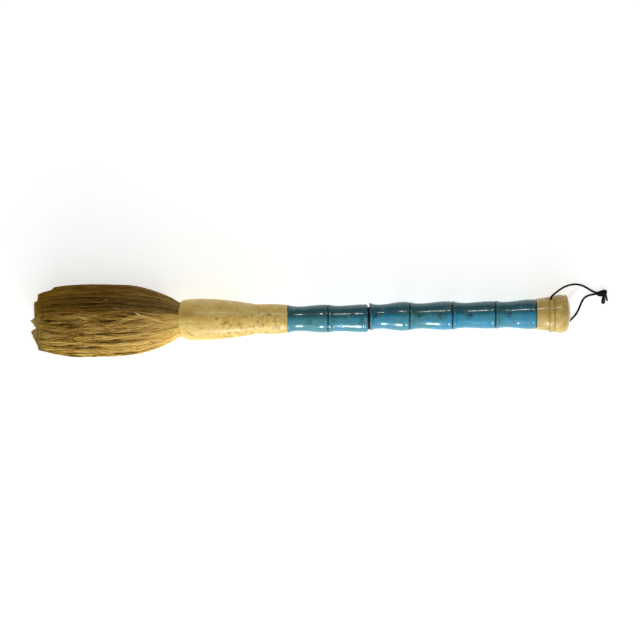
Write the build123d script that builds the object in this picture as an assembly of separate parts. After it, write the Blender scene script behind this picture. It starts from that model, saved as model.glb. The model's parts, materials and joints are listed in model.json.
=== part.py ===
from build123d import *
from math import asin, cos, degrees, pi, radians, sin, tan
import os

# A large calligraphy brush lying on a table, hair towards -X and end cap towards +X.
# Lengths are in millimetres. "Station" means distance from the hair's end along the brush's axis.
# Every turned piece is first made about the X axis, with the hair's end at X = 0, and then
# laid down so that the hair's belly and the end cap's rim both rest on Z = 0.

# ---- Hair tuft ----
HAIR_BELLY_STATION = 43.4
HAIR_BELLY_RADIUS = 25.0
HAIR_ROOT_STATION = 126.0
HAIR_ROOT_RADIUS = 10.4
HAIR_OUTLINE = [
    (2.2, 20.0),
    (12, 22.6),
    (26, 24.5),
    (HAIR_BELLY_STATION, HAIR_BELLY_RADIUS),
    (62, 24.4),
    (76, 22.3),
    (89, 18.2),
    (98.6, 14.2),
]
CORE_OUTLINE = [(0, 13.0), (20, 15.0), (43.4, 15.5), (70, 13.5), (96, 8.0), (HAIR_ROOT_STATION, 6.5)]
BELLY_FLAT_DEPTH = 3.0  # how far the soft belly is pressed flat by the table
LAYER_GAP = 0.1

# ---- Ferrule: a turned bone cup and its collar ----
CUP_MOUTH_STATION = 100.4
CUP_END_STATION = 154.0
CUP_OUTLINE = [(101.6, 13.6), (108.5, 14.45), (118, 14.55), (130, 13.95), (143, 12.45), (153.7, 10.75)]
CUP_MOUTH_INNER_RADIUS = 12.2
CUP_FLOOR_STATION = 136.0
CUP_FLOOR_RADIUS = 10.7
COLLAR_END_STATION = 176.4
COLLAR_OUTLINE = [(154.4, 10.45), (160, 10.4), (167.5, 10.5), (172, 10.35), (176.1, 10.0)]

# ---- Inside the ferrule ----
THREAD_RADIUS = 0.5
THREAD_TURNS = 6
THREAD_STATION = 114.0
PLUG_LENGTH = 8.5

# ---- Handle ----
ROD_RADIUS = 6.0
ROD_START_STATION = 136.6
ROD_END_GAP = 0.4
GLUE_GAP = 0.05
SEAM_WIDTH = 0.35
SEAM_DEPTH = 0.5
EDGE = 0.35
OPEN_SEAM_WIDTH = 1.4
OPEN_SEAM_RADIUS = 7.8
OPEN_SEAM_AFTER = 2  # the joint behind the second segment has come open
REAR_STEP = 1.0  # the rear half sits this far to one side at the open joint
REAR_BEND_DEG = 0.45

# Each segment: length, start radius, waist radius, waist place, ring radius, ring place, end radius.
# Places are shares of the segment's length.
SEGMENTS = [
    (28.00, 9.85, 8.95, 0.49, 9.85, 0.87, 9.75),
    (27.65, 9.80, 9.10, 0.45, 9.80, 0.84, 9.70),
    (27.75, 9.80, 9.10, 0.50, 10.2, 0.90, 9.90),
    (29.60, 9.85, 9.25, 0.48, 10.0, 0.91, 9.75),
    (29.75, 10.05, 9.30, 0.62, 9.65, 0.85, 9.50),
    (28.55, 9.80, 9.25, 0.38, 10.45, 0.89, 10.3),
]

# ---- End cap, measured from its own front face ----
CAP_RIM_OFFSET = 17.5
CAP_RIM_RADIUS = 13.4
CAP_OUTLINE = [
    (0.3, 10.95),
    (5, 11.45),
    (10, 12.4),
    (14, 13.1),
    (CAP_RIM_OFFSET, CAP_RIM_RADIUS),
    (19.8, 12.75),
    (21.9, 9.4),
    (23.2, 5.8),
]
CAP_LENGTH = 23.5
CAP_FACE_RADIUS = 5.2
CAP_SOCKET_DEPTH = 6.0
CAP_GROOVES = [8.1, 11.6]
CAP_GROOVE_WIDTH = 1.0
CAP_GROOVE_DEPTH = 0.35
CAP_TAPER = 0.18  # growth of the cap's radius per millimetre, near the grooves
HOLE_OFFSET = 9.9
HOLE_RADIUS = 1.1
HOLE_TILT_DEG = 32.0  # the hole runs across the cap, its +Y mouth raised by this much

# ---- Hanging loop: a limp cord through the cap's hole, both ends tied in one knot ----
CORD_DIAMETER = 1.4
CORD_HEIGHT = 0.75  # height of the cord's middle where it lies on the table
MOUTH_REACH = 11.0  # where the hidden stretch in the hole ends, either way from the brush's axis
STUB_REACH = 14.2  # how far the cord runs straight on out of each mouth
KNOT_FACE = 33.6
# Free points: X and Y from the hole's middle, and height above the table.
UPPER_ROUTE = [
    (3.4, 14.9, 20.9),
    (7.8, 18.2, 17.2),
    (12.3, 20.6, 11.0),
    (16.8, 21.5, 4.8),
    (21.2, 20.9, CORD_HEIGHT),
    (25.6, 18.9, CORD_HEIGHT),
    (29.4, 15.3, CORD_HEIGHT),
    (KNOT_FACE, 15.1, CORD_HEIGHT),
]
LOWER_ROUTE = [
    (1.5, -12.3, 3.0),
    (5.0, -11.4, CORD_HEIGHT),
    (9.8, -8.9, CORD_HEIGHT),
    (14.6, -4.4, CORD_HEIGHT),
    (18.8, 1.0, CORD_HEIGHT),
    (21.3, 6.8, CORD_HEIGHT),
    (24.8, 11.8, CORD_HEIGHT),
    (29.0, 13.4, CORD_HEIGHT),
    (KNOT_FACE, 13.3, CORD_HEIGHT),
]
KNOT_SIZE = (6.8, 4.4, 3.2)
KNOT_MIDDLE_Y = 14.3
KNOT_ROUNDING = 1.3
# Each tail beyond the knot: radius and points, placed as the routes are.
TAILS = [
    (0.95, [(39.0, 13.4, 1.1), (37.9, 9.4, 1.0), (38.4, 6.9, 1.0)]),
    (0.6, [(39.8, 13.8, 1.1), (40.8, 11.4, 0.7), (41.6, 9.0, 0.65)]),
]


def turned(points):
    """A solid of revolution about X under straight lines through (station, radius) points."""
    outline = Polyline(*[(station, radius) for station, radius in points], close=True)
    return revolve(make_face(outline), Axis.X)


def turned_smooth(before, curve, after):
    """A solid of revolution about X: straight lines up to a smooth curve, and straight lines from it."""
    up = [Line(a, b) for a, b in zip(before, before[1:] + curve[:1])]
    down = [Line(a, b) for a, b in zip(curve[-1:] + after, after)]
    floor = [Line(after[-1], before[0])]
    return revolve(make_face(up + [Spline(*curve)] + down + floor), Axis.X)


def turned_tube(start, end, curve):
    """A turned length with a smooth outline and a small bevel at each end."""
    before = [(start, 0), (start, curve[0][1] - EDGE)]
    after = [(end, curve[-1][1] - EDGE), (end, 0)]
    return turned_smooth(before, curve, after)


def cylinder(start_station, end_station, radius):
    return turned([(start_station, 0), (start_station, radius), (end_station, radius), (end_station, 0)])


def ring(start_station, end_station, inner, outer):
    corners = [(start_station, inner), (start_station, outer), (end_station, outer), (end_station, inner)]
    return turned(corners)


# ---- How the brush lies ----
segment_starts = []
station = COLLAR_END_STATION + SEAM_WIDTH
for number, segment in enumerate(SEGMENTS, start=1):
    segment_starts.append(station)
    station += segment[0] + (OPEN_SEAM_WIDTH if number == OPEN_SEAM_AFTER else SEAM_WIDTH)
cap_start = station
total_length = cap_start + CAP_LENGTH
rim_station = cap_start + CAP_RIM_OFFSET
open_station = segment_starts[OPEN_SEAM_AFTER - 1] + SEGMENTS[OPEN_SEAM_AFTER - 1][0]

belly_height = HAIR_BELLY_RADIUS - BELLY_FLAT_DEPTH
tilt = asin((belly_height - CAP_RIM_RADIUS) / (rim_station - HAIR_BELLY_STATION))
end_height = belly_height + HAIR_BELLY_STATION * sin(tilt)
middle = total_length * cos(tilt) / 2

lay_down = Location((-middle, 0, end_height), (0, degrees(tilt), 0))
swing_rear = Location((open_station, REAR_STEP, 0), (0, 0, REAR_BEND_DEG)) * Location((-open_station, 0, 0))
front = lay_down
rear = lay_down * swing_rear

hole_middle = (rear * Location((cap_start + HOLE_OFFSET, 0, 0))).position
hole_axis = Vector(0, cos(radians(HOLE_TILT_DEG)), sin(radians(HOLE_TILT_DEG)))

# The rod is straight, so in the front half it runs a little off the segments' own axis.
rod_end = cap_start + CAP_SOCKET_DEPTH
rod = rear * cylinder(ROD_START_STATION, rod_end - ROD_END_GAP, ROD_RADIUS)
rod_bore = rear * cylinder(ROD_START_STATION - ROD_END_GAP, rod_end, ROD_RADIUS + GLUE_GAP)
table = Location((0, 0, -50)) * Box(1000, 400, 100)


def hair_core():
    return turned_smooth([(0, 0)], CORE_OUTLINE, [(HAIR_ROOT_STATION, 0)])


def hair_outer():
    """The covering hairs: a full belly, nipped in at the cup's mouth and tied in at the root."""
    neck = CUP_MOUTH_INNER_RADIUS - LAYER_GAP
    groove_start = THREAD_STATION
    groove_end = THREAD_STATION + THREAD_TURNS * 2 * THREAD_RADIUS
    groove_radius = HAIR_ROOT_RADIUS + 0.3
    before = [(0, 0), (0.4, 16.0)]
    after = [
        (CUP_MOUTH_STATION - LAYER_GAP, neck),
        (groove_start, neck - 0.2),
        (groove_start, groove_radius),
        (groove_end, groove_radius),
        (HAIR_ROOT_STATION, HAIR_ROOT_RADIUS),
        (HAIR_ROOT_STATION, 0),
    ]
    room = [(x, radius + LAYER_GAP) for x, radius in CORE_OUTLINE]
    hollow = turned_smooth([(0, 0)], room, [(HAIR_ROOT_STATION, 0)])
    return turned_smooth(before, HAIR_OUTLINE, after) - hollow


def binding_thread():
    """Turns of thread lying side by side in the groove round the hair's root."""
    turns = []
    for turn in range(THREAD_TURNS):
        middle_station = THREAD_STATION + (2 * turn + 1) * THREAD_RADIUS
        centre_radius = HAIR_ROOT_RADIUS + 0.3 + THREAD_RADIUS
        place = Location((middle_station, 0, 0), (0, 90, 0))
        turns.append(place * Torus(centre_radius, THREAD_RADIUS - 0.02))
    return Compound(children=turns)


def ferrule_cup():
    before = [(CUP_MOUTH_STATION, 0), (CUP_MOUTH_STATION, CUP_OUTLINE[0][1] - 0.5)]
    after = [(CUP_END_STATION, CUP_OUTLINE[-1][1] - EDGE), (CUP_END_STATION, 0)]
    body = turned_smooth(before, CUP_OUTLINE, after)
    cavity = turned([
        (CUP_MOUTH_STATION - 1, 0),
        (CUP_MOUTH_STATION - 1, CUP_MOUTH_INNER_RADIUS),
        (THREAD_STATION, CUP_MOUTH_INNER_RADIUS),
        (CUP_FLOOR_STATION, CUP_FLOOR_RADIUS),
        (CUP_FLOOR_STATION, 0),
    ])
    return front * (body - cavity) - rod_bore


def handle_segment(start, values):
    length, start_radius, waist, waist_place, ring_radius, ring_place, end_radius = values
    curve = [
        (start + EDGE, start_radius),
        (start + waist_place * length, waist),
        (start + ring_place * length, ring_radius),
        (start + length - EDGE, end_radius),
    ]
    return turned_tube(start, start + length, curve)


def end_cap():
    outline = [(cap_start + x, radius) for x, radius in CAP_OUTLINE]
    before = [(cap_start, 0), (cap_start, outline[0][1] - EDGE)]
    after = [(total_length, CAP_FACE_RADIUS), (total_length, 0)]
    body = turned_smooth(before, outline, after)
    for offset in CAP_GROOVES:
        groove_start = cap_start + offset
        surface = CAP_OUTLINE[2][1] + CAP_TAPER * (offset + CAP_GROOVE_WIDTH / 2 - CAP_OUTLINE[2][0])
        depth_radius = surface - CAP_GROOVE_DEPTH
        body -= ring(groove_start, groove_start + CAP_GROOVE_WIDTH, depth_radius, CAP_RIM_RADIUS + 2)
    hole_plane = Plane(origin=hole_middle, z_dir=hole_axis)
    hole = hole_plane.location * Cylinder(HOLE_RADIUS, 4 * CAP_RIM_RADIUS)
    return rear * body - rod_bore - hole


def seam_filler(start, width, radius, place):
    """The dark glue that fills a joint, held back from the surface."""
    return place * ring(start, start + width, 0, radius) - rod_bore


def route_radii(points):
    """Each bend's radius: as large as the two runs beside it allow."""
    radii = []
    for before, here, after in zip(points, points[1:], points[2:]):
        incoming = here - before
        outgoing = after - here
        half_turn = radians(incoming.get_angle(outgoing)) / 2
        radii.append(0.45 * min(incoming.length, outgoing.length) / tan(half_turn))
    return radii


def tube(points, radius):
    radii = route_radii(points)
    path = FilletPolyline(*points, radius=radii)
    section = Plane(origin=path @ 0, z_dir=path % 0) * Circle(radius)
    solid = sweep(section, path)
    expected = pi * radius**2 * path.length
    print("  length", round(path.length, 2), "radii", [round(r, 1) for r in radii])
    print("  volume", round(solid.volume, 2), "section x length", round(expected, 2))
    return solid


def beside_hole(point):
    """A route point: X and Y from the hole's middle, height above the table."""
    return Vector(hole_middle.X + point[0], hole_middle.Y + point[1], point[2])


def strand(side, route):
    start = hole_middle + hole_axis * (side * MOUTH_REACH)
    stub = hole_middle + hole_axis * (side * STUB_REACH)
    return tube([start, stub] + [beside_hole(point) for point in route], CORD_DIAMETER / 2)


def cord_in_hole():
    start = hole_middle - hole_axis * MOUTH_REACH
    section = Plane(origin=start, z_dir=hole_axis) * Circle(CORD_DIAMETER / 2)
    return extrude(section, 2 * MOUTH_REACH)


def cord_knot():
    """A rounded block for the tied knot, flat where the strands run in, with two short tails."""
    length, width, height = KNOT_SIZE
    block = Box(length, width, height)
    kept_flat = block.faces().sort_by(Axis.X)[0].edges()
    rounded = [edge for edge in block.edges() if edge not in kept_flat]
    block = fillet(rounded, KNOT_ROUNDING)
    centre = beside_hole((KNOT_FACE + length / 2, KNOT_MIDDLE_Y, height / 2))
    knot = Location(centre) * block
    for radius, route in TAILS:
        knot += tube([beside_hole(point) for point in route], radius)
    return knot


# ---- Build the pieces ----
nodes = {}
nodes["hair_core_tuft"] = front * hair_core()
nodes["hair_outer_tuft"] = front * hair_outer() - table
nodes["binding_thread"] = front * binding_thread()
plug_start = HAIR_ROOT_STATION + GLUE_GAP
nodes["root_resin_plug"] = front * cylinder(plug_start, HAIR_ROOT_STATION + PLUG_LENGTH, HAIR_ROOT_RADIUS)
nodes["ferrule_cup"] = ferrule_cup()
collar = turned_tube(CUP_END_STATION + GLUE_GAP, COLLAR_END_STATION, COLLAR_OUTLINE)
nodes["ferrule_collar"] = front * collar - rod_bore
nodes["core_rod"] = rod
nodes["seam_glue_0"] = seam_filler(COLLAR_END_STATION, SEAM_WIDTH, 10.0 - SEAM_DEPTH, front)
for number, (start, values) in enumerate(zip(segment_starts, SEGMENTS), start=1):
    place = front if number <= OPEN_SEAM_AFTER else rear
    end = start + values[0]
    nodes[f"handle_segment_{number}"] = place * handle_segment(start, values) - rod_bore
    if number == OPEN_SEAM_AFTER:
        width = OPEN_SEAM_WIDTH - 2 * LAYER_GAP
        nodes["open_joint_core"] = seam_filler(end + LAYER_GAP, width, OPEN_SEAM_RADIUS, place)
    else:
        nodes[f"seam_glue_{number}"] = seam_filler(end, SEAM_WIDTH, values[6] - SEAM_DEPTH, place)
nodes["end_cap"] = end_cap()
nodes["loop_cord_in_hole"] = cord_in_hole()
print("upper strand")
nodes["loop_cord_upper"] = strand(1, UPPER_ROUTE)
print("lower strand")
nodes["loop_cord_lower"] = strand(-1, LOWER_ROUTE)
print("knot tails")
nodes["cord_knot"] = cord_knot()

os.makedirs("parts", exist_ok=True)
for name, piece in nodes.items():
    export_step(piece, f"parts/{name}.step")

cap_face = (rear * Location((total_length, 0, 0))).position
solid_nodes = [piece for name, piece in nodes.items() if "cord" not in name]
box = Compound(children=[Compound(piece.solids()) for piece in solid_nodes]).bounding_box()
print("length", round(total_length, 2), "tilt", round(degrees(tilt), 3))
print("box", box.min, box.max)
print("hole middle", hole_middle, "axis", hole_axis)
print("cap face", cap_face, "normal", (Plane(rear).x_dir))
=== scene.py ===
import json
import math

import bpy
import numpy as np
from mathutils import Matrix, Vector, noise
from mathutils.bvhtree import BVHTree


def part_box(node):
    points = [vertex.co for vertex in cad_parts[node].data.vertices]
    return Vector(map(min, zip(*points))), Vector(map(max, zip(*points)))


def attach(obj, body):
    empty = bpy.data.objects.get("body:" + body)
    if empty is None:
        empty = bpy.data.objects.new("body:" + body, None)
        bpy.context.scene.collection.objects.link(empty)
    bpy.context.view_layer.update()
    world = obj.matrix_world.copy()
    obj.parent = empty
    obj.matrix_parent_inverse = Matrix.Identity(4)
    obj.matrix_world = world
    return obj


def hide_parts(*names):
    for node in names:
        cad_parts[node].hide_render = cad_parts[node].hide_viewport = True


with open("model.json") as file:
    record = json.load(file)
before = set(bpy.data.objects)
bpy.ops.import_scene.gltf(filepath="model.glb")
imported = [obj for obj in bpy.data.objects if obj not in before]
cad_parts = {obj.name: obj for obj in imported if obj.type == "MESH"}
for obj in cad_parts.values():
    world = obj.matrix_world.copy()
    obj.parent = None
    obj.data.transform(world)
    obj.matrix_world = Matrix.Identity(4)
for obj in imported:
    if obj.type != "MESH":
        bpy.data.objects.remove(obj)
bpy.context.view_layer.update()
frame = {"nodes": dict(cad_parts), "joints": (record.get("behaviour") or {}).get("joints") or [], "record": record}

# A large calligraphy brush lying on a pale table. Lengths are in metres.
# "Station" means distance along the brush's middle line from the hair's end, towards the cap.

MM = 0.001

# ---- The view: straight down on the table ----
CAMERA_DISTANCE = 2.2
VIEW_WIDTH = 0.448
SENSOR_WIDTH = 36.0
VIEW_CENTRE = (0.0122, -0.001)
AXIS_HEIGHT = 0.018
CAMERA_ROLL_DEG = -0.455

# ---- The hanging loop's route: X and Y from the cross hole's middle, and height above the table ----
CORD_DIAMETER = 0.0014
CORD_HEIGHT = 0.00075
MOUTH_REACH = 0.011
STUB_REACH = 0.0142
KNOT_FACE = 0.0336
UPPER_ROUTE = [
    (0.003, 0.0143, 0.0209),
    (0.008, 0.018, 0.0172),
    (0.013, 0.02, 0.011),
    (0.0182, 0.0209, 0.0048),
    (0.0232, 0.0202, CORD_HEIGHT),
    (0.0276, 0.0178, CORD_HEIGHT),
    (0.0308, 0.0157, 0.0012),
    (KNOT_FACE, 0.0146, 0.0014),
]
LOWER_ROUTE = [
    (0.0015, -0.0123, 0.003),
    (0.0052, -0.0114, CORD_HEIGHT),
    (0.0104, -0.0088, CORD_HEIGHT),
    (0.0156, -0.0042, CORD_HEIGHT),
    (0.0196, 0.0000, CORD_HEIGHT),
    (0.0222, 0.0058, CORD_HEIGHT),
    (0.0243, 0.0106, CORD_HEIGHT),
    (0.0283, 0.0132, CORD_HEIGHT),
    (KNOT_FACE, 0.0138, CORD_HEIGHT),
]
PLIES = 3
PLY_VALLEY = 0.92  # how far the skin reaches between two plies, as a share of the cord's radius
PLY_SWELL = 0.14  # how much further it reaches along a ply's middle
TWIST_PITCH = 0.0042
CORD_SIDES = 15
ROUTE_RESOLUTION = 14

# The tied knot, placed from its own middle: two cords side by side through one overhand knot.
KNOT_MIDDLE = (0.037, 0.0142, 0)
KNOT_ROUTES = [
    [
        (-3.5, 0.45, 1.35), (-1.4, 0.8, 1.5), (0.6, 1.7, 2.2), (2.6, 2.1, 2.0), (3.7, 1.2, 1.4),
        (3.1, -0.3, 0.8), (1.2, -1.4, 0.8), (-0.9, -1.6, 0.9), (-2.4, -1.2, 1.3), (-2.5, 0.0, 2.3),
        (-1.2, 0.6, 3.0), (0.4, 0.2, 3.1), (1.3, -1.4, 2.6), (1.1, -3.6, 1.5), (0.5, -5.6, 0.9),
        (0.8, -6.8, 0.8), (1.7, -6.9, 0.8), (2.2, -5.8, 0.9), (2.0, -3.6, 1.3), (1.9, -1.6, 1.6),
    ],
    [
        (-3.5, -0.45, 0.78), (-1.6, -0.3, 1.0), (0.3, 0.5, 1.3), (1.9, 1.0, 1.2), (2.7, 0.3, 1.7),
        (2.2, -0.6, 2.2), (0.7, -0.9, 2.3), (-0.8, -0.7, 2.4), (-1.0, 0.5, 3.0), (0.6, 1.1, 3.2),
        (2.3, 0.6, 3.0), (3.1, -1.0, 2.3), (3.5, -3.0, 1.3), (4.3, -5.3, 0.8),
    ],
]

# ---- Turned pieces ----
LOOK_FROM = 0.06  # further out than any turned piece
END_INSET = 5e-6
STONE_ROW_STEP = 0.00025
BONE_ROW_STEP = 0.0003
HORN_ROW_STEP = 0.0002
STONE_SIDES = 200
CUP_SIDES = 240
CAP_SIDES = 240
EDGE_BEVEL = 0.00025
EDGE_ZONE = 0.0004  # the bevels replace the outline this far in
SHARP_ANGLE = math.radians(38)
HANDLE_BORE = 0.0072

# ---- Ferrule ----
FITTED_BEVEL = 0.00007  # the cup and collar meet almost without a line
LIP_RADIUS = 0.0122  # the cup's mouth, inside
LIP_ROUNDING = 0.0004
LIP_STEPS = 8
MOUTH_DEPTH = 0.004  # the hollow is straight this far in, then narrows to its floor
CUP_DEPTH = 0.03
CUP_FLOOR_RADIUS = 0.011
# The lip is cut in a shallow curve: how far it stands back towards the handle, by its place
# across the brush from -Y to +Y. The curve dies out over LIP_REACH.
LIP_SWEEP = [(-1.0, 0.0038), (-0.8, 0.002), (-0.4, 0.0004), (0.1, -0.0003), (0.6, 0.0006), (1.0, 0.0022)]
LIP_REACH = 0.014
# How full of pores the bone is, by where it is: along the cup, and across from -Y to +Y.
PORES_FADE = 0.014
PORES_ALONG = [0.1, 0.35, 1.0]
PORES_ACROSS = [(-0.004, 1.0), (0.007, 0.35)]
# Stains and pits seen in the bone: station, angle round the brush in degrees, half length,
# half width, slant in degrees, and strength (over 1.2 is a pit).
BONE_MARKS = [
    (0.1075, 74, 0.0062, 0.0026, 0, 0.75), (0.1092, 136, 0.0034, 0.0008, 42, 0.95),
    (0.1273, 88, 0.0013, 0.0007, -20, 1.5), (0.1333, 101, 0.0022, 0.0008, -24, 1.4),
    (0.164, 74, 0.0014, 0.0006, 8, 2.6), (0.1517, 76, 0.0007, 0.0006, 30, 1.7),
    (0.144, 118, 0.0016, 0.0007, 35, 1.4), (0.1595, 112, 0.0012, 0.0009, -30, 1.4),
    (0.17, 126, 0.0011, 0.0014, 0, 1.0), (0.138, 215, 0.0026, 0.0011, 25, 1.1),
    (0.1687, 104, 0.0005, 0.0028, 0, 1.2), (0.156, 99, 0.0016, 0.0005, 30, 1.4),
    (0.123, 300, 0.005, 0.0024, 0, 0.7), (0.16, 250, 0.0016, 0.0007, -35, 1.4),
]

# ---- Handle ----
# How blue each handle section is, from the ferrule back.
BLUENESS = [-0.12, 0.02, 0.03, 0.05, 0.08, 0.07]
SECTIONS_IN_FRONT = 2  # the sections before the open joint
SHIFT_X = 0.37  # moves the noise on from one section to the next
SHIFT_Y = 0.11
# The bead beside each joint and the faint hollow behind it: distance from the joint, half width, height.
BEAD = (0.0016, 0.0007, 0.00017)
BEAD_HOLLOW = (0.0033, 0.0008, -0.00007)
# Where the stone is crazed with fine dark cracks: station, angle and half length.
CRACKED_PLACES = [
    (0.1915, 107, 0.0028), (0.2289, 106, 0.0036), (0.2097, 84, 0.0018), (0.238, 88, 0.0026),
    (0.2681, 84, 0.0032), (0.2849, 90, 0.0042), (0.3038, 96, 0.0028), (0.3311, 92, 0.0026),
    (0.198, 205, 0.0028), (0.222, 300, 0.0032), (0.25, 172, 0.003), (0.262, 250, 0.0034),
    (0.276, 335, 0.003), (0.296, 198, 0.0034), (0.312, 280, 0.003), (0.322, 15, 0.0028),
    (0.338, 185, 0.0034), (0.344, 305, 0.0026), (0.204, 20, 0.0026), (0.245, 28, 0.0026),
]
CRACKS_WIDTH = 0.8  # as a share of their length
# Painted shade: the stone's colour is darkened towards its +Y side, away from the lamps, between these cosines of
# the angle round it.
PAINTED_SHADE_FROM = [-0.05, 0.3]
PAINTED_SHADE_SHARE = [-0.3, 1.3]

# ---- End cap ----
SOCKET_DEPTH = 0.006
SOCKET_RADIUS = 0.00605
CAP_BEVEL = 0.0002
SHOULDER_FROM_FACE = 0.0015
SHOULDER_HALF_WIDTH = 0.0015
SHOULDER_HEIGHT = 0.002
SHOULDER_LEAN = 0.0007  # how much more the shoulder swells on its +Y side
RINGS_FROM_FACE = 0.008  # both cut rings lie further than this from the face
RING_HALF_WIDTH = 0.001
RING_DEPTH = 0.00022
RUBBED_EDGE = [(0.0003, 1), (0.0009, 0)]  # from the front edge
CROSS_HOLE_RADIUS = 0.0011
BIT_REACH = 0.03
BIT_SIDES = 48

# ---- Uneven skins: noise scale and height. Pits: noise scale, threshold and depth ----
STONE_UNEVEN = (70, 0.00005)
BONE_UNEVEN = (70, 0.0001)
HORN_UNEVEN = (80, 0.00006)
STONE_PITS = (300, 0.52, 0.00012)
BONE_PITS = (420, 0.42, 0.00014)
HORN_PITS = (500, 0.54, 0.00008)
PIT_SLOPE = 0.12

# ---- Hair ----
HAIR_ROW_STEP = 0.0005
# The parts of the tuft's outline that are used: from a station to this far inside the cup.
TUFT_SKIN = (0.0026, 0.006)
BODY_SKIN = (0.015, 0.003)
HAIR_SEED = 7
FILLING_SEED = 8
STRAND_RADIUS = 0.00012
ROOT_DEPTH = 0.0055  # how far inside the cup the outer hairs start
# The outer layers, from the outside in: hairs, locks, how deep they lie as shares of the
# radius, and how freely they wander.
OUTER_LAYERS = [
    (1000, 46, (0.0, 0.02), 1.25),
    (1650, 70, (0.012, 0.04), 1.1),
    (1650, 84, (0.025, 0.055), 1.0),
    (1650, 96, (0.04, 0.07), 0.8),
    (1650, 110, (0.055, 0.09), 0.6),
]
OUTER_POINTS = 20
# The hairs that fill the trimmed end: name, hairs, locks, depth, points along each, the station
# where they start, how freely they wander, and how thick they are beside the outer hairs.
FILLINGS = [
    ("rim", 5200, 1000, (0.08, 0.32), 6, 0.03, 0.4, 1.35),
    ("core", 7600, 1900, (0.3, 1.0), 4, 0.022, 0.4, 1.7),
]
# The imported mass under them: its blunt end, how thick it is beside the tuft, and its root in the cup.
BODY_END = [(0.0075, 0.004), (0.0065, 0.0155), (0.0095, 0.019)]
BODY_SHARE = 0.92
BODY_ROOT_DEPTH = 0.02
BODY_ROOT_RADII = (0.0112, 0.004)
GROOVE_SCALE = Vector((40, 1100, 1100))
GROOVE_DEPTH = 0.014
TABLE_GAP = 0.0004
BODY_SIDES = 360
LINT_RADIUS = 0.00038  # the first stray hair
STRAY_RADIUS = 0.00015
# Near-white stray tones, partly a painted glint.
LINT_GLINT_TONE = 1.6
STRAY_GLINT_TONE = 1.4
STRAY_LIFT = 0.0004  # off the tuft at both ends
STRAY_ARCH = 0.0006  # further off in the middle
CLUMPS_PER_LOCK = 5
GATHERED = 0.62  # a lock's spread beside its share of the way round
CLUMP_SPREAD = 0.42  # a clump's spread beside its lock's
DEPTH_SPREAD = 0.01
# How locks and clumps pinch together: the tightest, then the shortest and longest wave.
LOCK_PINCH = (0.35, 0.05, 0.1)
CLUMP_PINCH = (0.15, 0.03, 0.07)
TIP_SPREAD = 0.3 * MM
SHORT_HAIRS = 0.05  # this share of the hairs ends early, by these millimetres
SHORT_BY = (1, 9)
SETTLED_BY = 0.22  # the hairs lie straight at the root and wander fully from here on
WAVE_UNIT = 0.1  # about a hair's length
# Slow waves along the hairs: height, then the shortest and longest wave.
LOCK_SWAY = (1.1 * MM, 0.04, 0.08)
CLUMP_SWAY = (0.7 * MM, 0.016, 0.04)
HAIR_SWAY = (0.14 * MM, 0.016, 0.04)
LOCK_LIFT = (0.5 * MM, 0.03, 0.08)
CLUMP_LIFT = (0.4 * MM, 0.018, 0.045)
MOST_LIFT = 0.7 * MM
HAIR_LIFT = 0.1 * MM
TONE_WAVE = (0.2, 0.012, 0.035)
MIDDLE_TONE = 0.58
LOCK_TONE = 0.08
CLUMP_TONE = 0.27
HAIR_TONE = 0.17
# How far the painted shadows in the gaps darken the hairs.
GAP_SHADOW_TONE = 0.45
# The trimmed end is stepped: how far across the brush, as a share of its radius there and
# counted towards +Y, and the station in millimetres where the hairs at that place end.
END_STEPS = [
    (-1.0, 3.6), (-0.9, 3.2), (-0.42, -1.4), (-0.33, -1.1), (-0.27, 2.4), (0.01, -1.9), (0.07, 0.9),
    (0.62, 0.6), (0.68, 3.0), (0.895, 3.8), (0.935, 12.8), (1.0, 14.2),
]
END_DOME = 0.0036  # how much sooner the hairs of the top and the underside end
EVEN_END = 0.002  # the steps fade towards this station away from the middle's height
EVENED = [(0.25, 0.0), (0.85, 0.85)]  # how far they do, by that height as a share of the radius
# Painted shadows in the gaps between the locks: station, angle round the brush in degrees, half length and half
# width.
PAINTED_GAP_SHADOWS = [
    (0.04, 138, 0.013, 0.0012), (0.05, 127, 0.008, 0.0009), (0.03, 100, 0.01, 0.0009),
    (0.052, 92, 0.011, 0.0014), (0.068, 96, 0.008, 0.0009), (0.062, 112, 0.009, 0.0007),
    (0.022, 122, 0.006, 0.0008), (0.084, 108, 0.007, 0.0006), (0.088, 92, 0.007, 0.0006),
    (0.018, 96, 0.012, 0.0018), (0.062, 84, 0.008, 0.001), (0.036, 114, 0.006, 0.0007),
    (0.045, 215, 0.012, 0.0012), (0.06, 260, 0.012, 0.0012), (0.035, 300, 0.011, 0.0012),
    (0.055, 335, 0.012, 0.0011), (0.072, 190, 0.009, 0.0009), (0.03, 250, 0.008, 0.001),
]
# Painted light and shade on the hairs by their place across the brush, from its -Y side to its +Y side: lighter on
# the lit -Y side, darker on the shaded +Y side and at the very -Y edge.
PAINTED_SIDE_LIGHT_AND_SHADE = [(-1.0, -0.1), (-0.86, 0.0), (-0.6, 0.14), (0.02, 0.12), (0.26, -0.33), (1.0, -0.28)]
# Painted shade on the hairs that lie deeper, by how deep they lie, and changes by station: every tip's own lighter
# colour, the calm hairs' tips, where the painted shade is eased, and the roots, painted lighter on the -Y side and
# a little darker on the +Y side.
PAINTED_DEPTH_SHADE = [(0.0, 0.0), (0.1, -0.2), (0.3, -0.02)]
TIP_SHADES = [(0.0, 0.14), (0.012, 0.0)]
CALM_TIP_SHADES = [(0.005, 0.2), (0.032, 0.0)]
ROOT_PAINTED_LIGHT_AND_SHADE = [(0.055, 0.0), (0.09, 0.27)]
# How much the hairs' shades vary and how freely the locks wander, by their place across the brush.
STREAKED = [(0.0, 1.0), (0.3, 0.24)]
COMBED = [(0.0, 1.0), (0.35, 0.3)]
TAPER = [(0, 1), (0.85, 0.9), (1, 0.5)]  # a hair's thickness along its length
THICKNESS_RANGE = (0.75, 1.25)
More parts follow.
